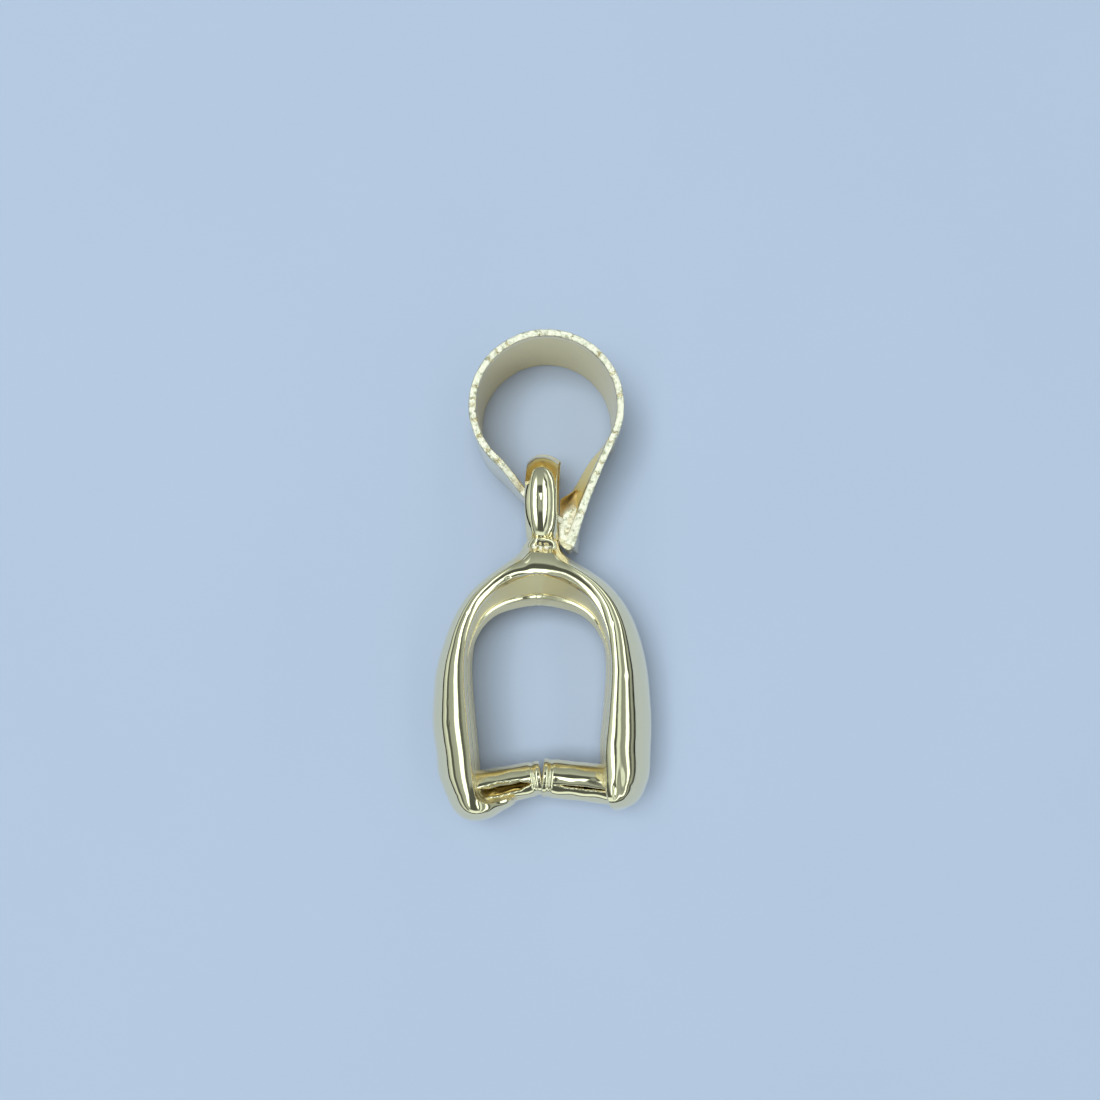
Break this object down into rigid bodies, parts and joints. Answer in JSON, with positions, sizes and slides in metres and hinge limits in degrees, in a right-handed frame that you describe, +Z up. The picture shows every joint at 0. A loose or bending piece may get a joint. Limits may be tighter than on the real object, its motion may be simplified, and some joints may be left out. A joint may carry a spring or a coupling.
{
  "type": "pinch bail",
  "caption": "Polished pale gold pinch bail: a U-shaped clip with two inward pegs, and a flat-strap teardrop loop on its ring.",
  "frame": {"origin": "bottom centre of the bounding box, on the surface that the bail lies on", "axes": "+Z up, away from the surface; +Y along the clip from its pegs towards the loop; +X to the right as seen from above"},
  "size_m": [0.0102, 0.0226, 0.0052],
  "materials": {
    "pale_gold": "polished"
  },
  "bodies": {
    "root": {"bail_loop": "pale_gold", "pinch_clip": "pale_gold"}
  },
  "joints": []
}
